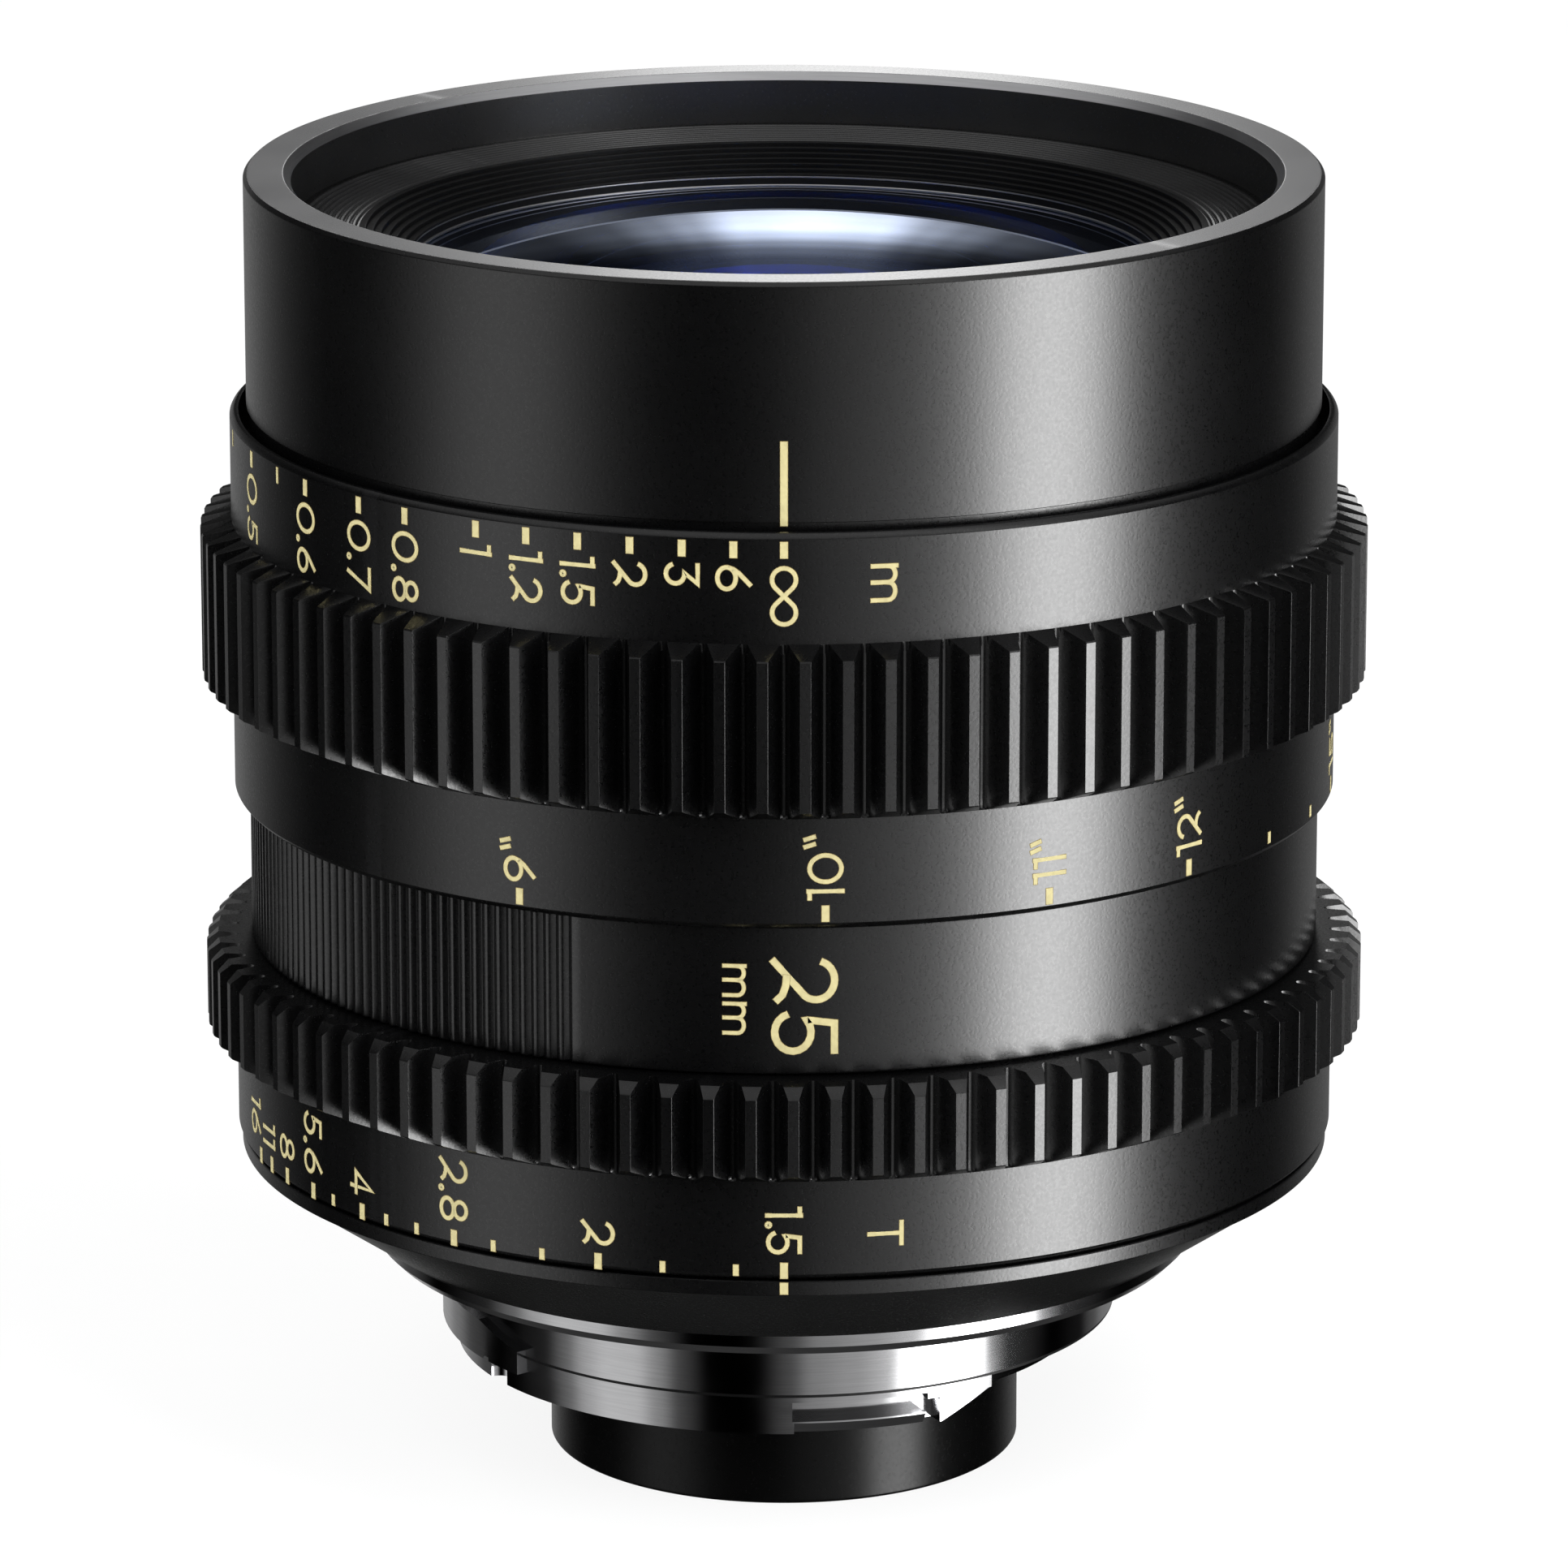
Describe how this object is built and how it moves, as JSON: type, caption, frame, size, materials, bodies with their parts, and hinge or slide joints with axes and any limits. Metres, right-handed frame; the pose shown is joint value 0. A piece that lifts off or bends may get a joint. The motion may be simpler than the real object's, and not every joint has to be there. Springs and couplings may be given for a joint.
{
  "type": "cinema prime lens",
  "caption": "Fixed-focal-length cinema lens: geared focus ring that slides the optical head on a helicoid, geared iris ring that swings its blades, filter thread and bayonet mount.",
  "frame": {"origin": "on the optical axis, in the plane of the bayonet flange's rear face", "axes": "+Z along the optical axis towards the front glass; -Y towards the scale index marks; +X to the right of the index as it is read with the front up"},
  "size_m": [0.0736, 0.0736, 0.0831],
  "materials": {
    "black_anodised": "satin bead-blasted black anodising",
    "inner_black": "matt black",
    "baffle_grey": "fine ridged dark grey",
    "chrome": "polished chrome",
    "steel": "plain steel",
    "blade_black": "blackened spring steel",
    "bronze": "machined bronze",
    "coated_glass": "polished glass with a blue-violet coating"
  },
  "bodies": {
    "barrel": {"rear_barrel": "black_anodised", "index_ring": "black_anodised", "bayonet_mount": "chrome", "mount_screws": "steel", "rear_shroud": "black_anodised", "shroud_screws": "steel", "mid_barrel": "black_anodised", "focus_retainer": "steel", "guide_keys": "bronze", "key_screws": "steel", "focus_stop_pin": "steel"},
    "focus": {"focus_ring": "black_anodised", "helicoid_ring": "bronze", "helicoid_pins": "steel"},
    "optics": {"front_barrel": "black_anodised", "front_baffle": "baffle_grey", "front_retainer": "inner_black", "lens_carrier": "inner_black", "head_screws": "steel", "front_cell": "inner_black", "front_element": "coated_glass", "front_spacer": "inner_black", "second_element": "coated_glass", "middle_spacer": "inner_black", "third_element": "coated_glass", "iris_housing": "inner_black", "iris_cover": "inner_black", "iris_screws": "steel", "rear_cell": "inner_black", "rear_cell_screws": "steel", "fourth_element": "coated_glass", "iris_side_retainer": "inner_black", "fifth_element": "coated_glass", "rear_spacer": "inner_black", "rear_element": "coated_glass", "rear_retainer": "inner_black"},
    "iris": {"iris_ring": "black_anodised", "iris_drive_pin": "steel"},
    "iris_drive": {"iris_drive_ring": "steel"},
    "blade_1": {"blade_1": "blade_black"},
    "blade_2": {"blade_2": "blade_black"},
    "blade_3": {"blade_3": "blade_black"},
    "blade_4": {"blade_4": "blade_black"},
    "blade_5": {"blade_5": "blade_black"},
    "blade_6": {"blade_6": "blade_black"},
    "blade_7": {"blade_7": "blade_black"},
    "blade_8": {"blade_8": "blade_black"},
    "blade_9": {"blade_9": "blade_black"}
  },
  "joints": [
    {"name": "focus_turn", "type": "hinge", "parent": "barrel", "child": "focus", "pos_m": [0, 0, 0.042], "axis": [0, 0, 1], "range_deg": [0, 220]},
    {"name": "head_slide", "type": "slide", "parent": "barrel", "child": "optics", "axis": [0, 0, 1], "range_m": [0, 0.0033]},
    {"name": "iris_turn", "type": "hinge", "parent": "barrel", "child": "iris", "pos_m": [0, 0, 0.014], "axis": [0, 0, 1], "range_deg": [0, 71]},
    {"name": "iris_drive_turn", "type": "hinge", "parent": "optics", "child": "iris_drive", "pos_m": [0, 0, 0.0268], "axis": [0, 0, 1], "range_deg": [0, 71.05]},
    {"name": "blade_1_swing", "type": "hinge", "parent": "optics", "child": "blade_1", "pos_m": [0.0172, 0, 0.0252], "axis": [0, 0, 1], "range_deg": [0, 26.25]},
    {"name": "blade_2_swing", "type": "hinge", "parent": "optics", "child": "blade_2", "pos_m": [0.01318, 0.01106, 0.0252], "axis": [0, 0, 1], "range_deg": [0, 26.25]},
    {"name": "blade_3_swing", "type": "hinge", "parent": "optics", "child": "blade_3", "pos_m": [0.00299, 0.01694, 0.0252], "axis": [0, 0, 1], "range_deg": [0, 26.25]},
    {"name": "blade_4_swing", "type": "hinge", "parent": "optics", "child": "blade_4", "pos_m": [-0.0086, 0.0149, 0.0252], "axis": [0, 0, 1], "range_deg": [0, 26.25]},
    {"name": "blade_5_swing", "type": "hinge", "parent": "optics", "child": "blade_5", "pos_m": [-0.01616, 0.00588, 0.0252], "axis": [0, 0, 1], "range_deg": [0, 26.25]},
    {"name": "blade_6_swing", "type": "hinge", "parent": "optics", "child": "blade_6", "pos_m": [-0.01616, -0.00588, 0.0252], "axis": [0, 0, 1], "range_deg": [0, 26.25]},
    {"name": "blade_7_swing", "type": "hinge", "parent": "optics", "child": "blade_7", "pos_m": [-0.0086, -0.0149, 0.0252], "axis": [0, 0, 1], "range_deg": [0, 26.25]},
    {"name": "blade_8_swing", "type": "hinge", "parent": "optics", "child": "blade_8", "pos_m": [0.00299, -0.01694, 0.0252], "axis": [0, 0, 1], "range_deg": [0, 26.25]},
    {"name": "blade_9_swing", "type": "hinge", "parent": "optics", "child": "blade_9", "pos_m": [0.01318, -0.01106, 0.0252], "axis": [0, 0, 1], "range_deg": [0, 26.25]}
  ],
  "couplings": [
    {"joint": "head_slide", "follows": "focus_turn", "m_per_rad": 0.00085944},
    {"joint": "iris_drive_turn", "follows": "iris_turn", "ratio": 1},
    {"joint": "blade_1_swing", "follows": "iris_turn", "ratio": 0.36917},
    {"joint": "blade_2_swing", "follows": "iris_turn", "ratio": 0.36917},
    {"joint": "blade_3_swing", "follows": "iris_turn", "ratio": 0.36917},
    {"joint": "blade_4_swing", "follows": "iris_turn", "ratio": 0.36917},
    {"joint": "blade_5_swing", "follows": "iris_turn", "ratio": 0.36917},
    {"joint": "blade_6_swing", "follows": "iris_turn", "ratio": 0.36917},
    {"joint": "blade_7_swing", "follows": "iris_turn", "ratio": 0.36917},
    {"joint": "blade_8_swing", "follows": "iris_turn", "ratio": 0.36917},
    {"joint": "blade_9_swing", "follows": "iris_turn", "ratio": 0.36917}
  ]
}
